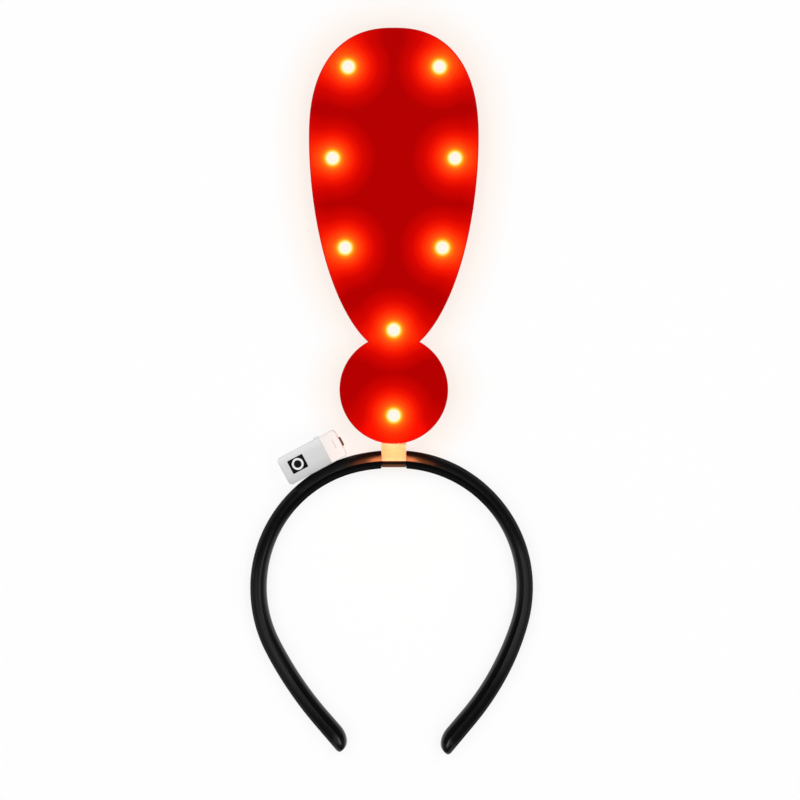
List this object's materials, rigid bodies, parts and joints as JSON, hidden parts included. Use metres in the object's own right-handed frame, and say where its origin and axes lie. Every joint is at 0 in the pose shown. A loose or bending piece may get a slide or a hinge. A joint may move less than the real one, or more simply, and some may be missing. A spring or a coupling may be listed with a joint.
{
  "type": "light-up exclamation mark headband",
  "caption": "Light-up costume headband: a red exclamation mark with glowing dome lights stands on a springy black plastic band, fed by a small white battery box with a slide switch.",
  "frame": {"origin": "middle of the length and width of the whole headband, in the plane that its back lies on", "axes": "+X to the right across the front, +Y from the band's tips to the top of the mark, +Z out of the front"},
  "size_m": [0.1354, 0.3482, 0.0134],
  "materials": {
    "band_black": "satin black",
    "strap_gold": "pale gold, brushed",
    "mark_red": "smooth red, lit",
    "light_dome": "clear gloss, lit",
    "box_white": "fine matte white",
    "switch_black": "matte near-black"
  },
  "bodies": {
    "headband": {"band": "band_black", "strap": "strap_gold", "mark_shell": "mark_red", "mark_back": "mark_red", "led_1": "light_dome", "led_2": "light_dome", "led_3": "light_dome", "led_4": "light_dome", "led_5": "light_dome", "led_6": "light_dome", "led_7": "light_dome", "led_8": "light_dome", "box_body": "box_white", "box_cover": "box_white"},
    "switch": {"switch_knob": "switch_black"}
  },
  "joints": [
    {"name": "switch_slide", "type": "slide", "parent": "headband", "child": "switch", "axis": [0.4706, -0.8824, 0], "range_m": [0, 0.002]}
  ]
}
